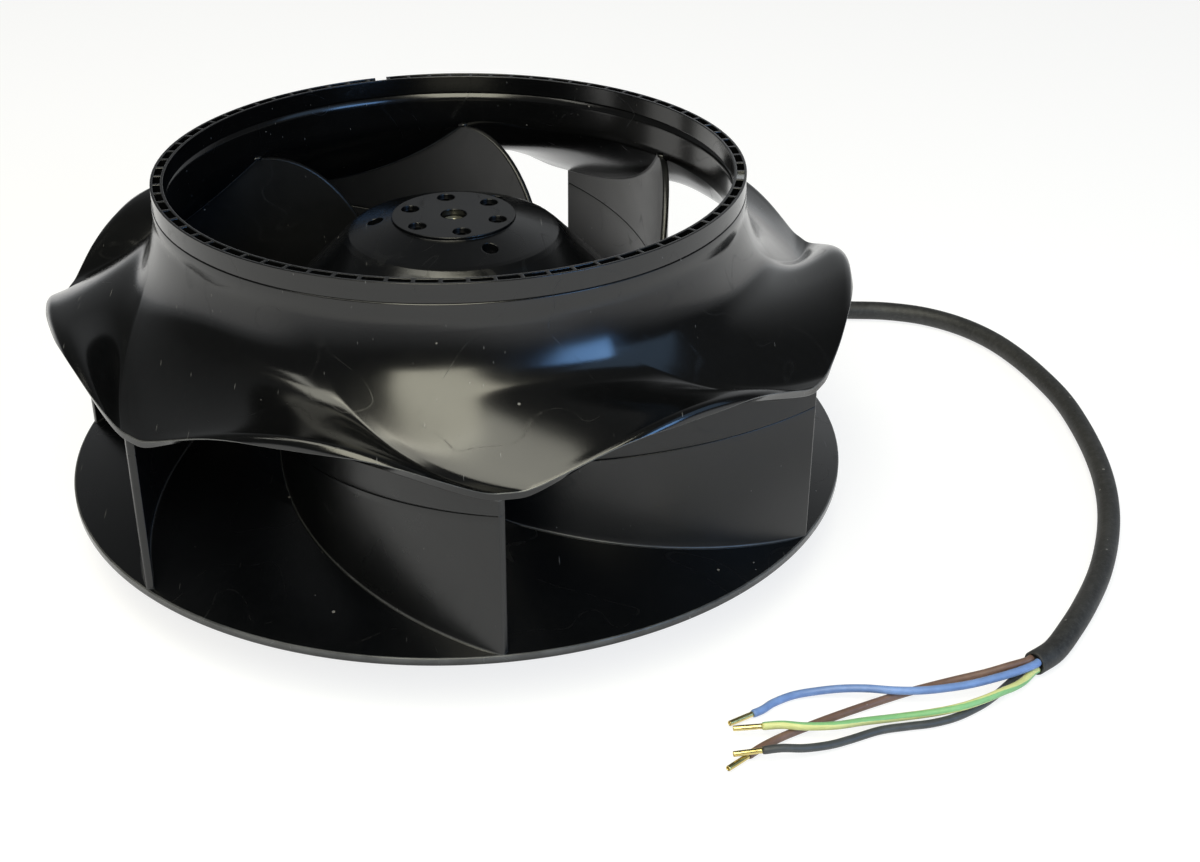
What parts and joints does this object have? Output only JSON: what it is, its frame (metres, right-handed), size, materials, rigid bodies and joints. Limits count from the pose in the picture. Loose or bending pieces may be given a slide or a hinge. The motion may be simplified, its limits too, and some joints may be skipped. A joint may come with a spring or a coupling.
{
  "type": "plug fan",
  "caption": "Free-running centrifugal fan: backward-curved impeller with a scalloped shroud, driven by an external rotor motor under its hub, with a connecting cable.",
  "frame": {"origin": "centre of the motor's mounting face, on the shaft's axis", "axes": "+Z along the shaft towards the inlet; +X and +Y square to it, with the cable lying on the +X side"},
  "size_m": [0.3491, 0.2819, 0.1158],
  "materials": {
    "base_plastic": "satin black glass-filled moulding",
    "blade_plastic": "fine matte black moulding",
    "shroud_plastic": "smooth satin black moulding with a soft sheen",
    "weight_zinc": "bright zinc",
    "screw_steel": "dark zinc-plated steel",
    "cast_aluminium": "die-cast, matte",
    "lamination_steel": "stacked sheet edges",
    "shaft_steel": "ground steel with a film of oil",
    "bearing_steel": "polished bearing steel",
    "spring_steel": "blued spring steel",
    "cage_brass": "pressed brass",
    "insulation": "moulded natural nylon",
    "copper": "enamelled copper wire",
    "earth_brass": "turned brass",
    "gland_rubber": "matte black rubber",
    "sheath": "matte dark grey sheath with a little dust",
    "core_blue": "blue insulation",
    "core_brown": "brown insulation",
    "core_black": "black insulation",
    "core_earth": "green and yellow insulation",
    "ferrule_brass": "bare brass"
  },
  "bodies": {
    "stator": {"stator_flange": "cast_aluminium", "stator_core": "lamination_steel", "upper_insulator": "insulation", "lower_insulator": "insulation", "windings": "copper", "thermal_cutout": "insulation", "earth_screw": "earth_brass", "upper_bearing_outer": "bearing_steel", "lower_bearing_outer": "bearing_steel", "preload_spring": "spring_steel", "bearing_cap": "spring_steel", "cable_gland": "gland_rubber", "cable": "sheath", "blue_wire": "core_blue", "brown_wire": "core_brown", "black_wire": "core_black", "earth_wire": "core_earth", "wire_ferrules": "ferrule_brass"},
    "rotor": {"base_wheel": "base_plastic", "base_blades": "blade_plastic", "shroud_blades": "blade_plastic", "shroud": "shroud_plastic", "balance_ring": "shroud_plastic", "balance_weight": "weight_zinc", "hub_screws": "screw_steel", "rotor_cup": "cast_aluminium", "rotor_core": "lamination_steel", "squirrel_cage": "cast_aluminium", "shaft": "shaft_steel", "shaft_circlip": "spring_steel", "upper_bearing_inner": "bearing_steel", "lower_bearing_inner": "bearing_steel", "upper_bearing_balls": "bearing_steel", "upper_bearing_cage": "cage_brass", "lower_bearing_balls": "bearing_steel", "lower_bearing_cage": "cage_brass"}
  },
  "joints": [
    {"name": "rotor_spin", "type": "hinge", "parent": "stator", "child": "rotor", "pos_m": [0, 0, 0], "axis": [0, 0, 1], "continuous": true}
  ]
}
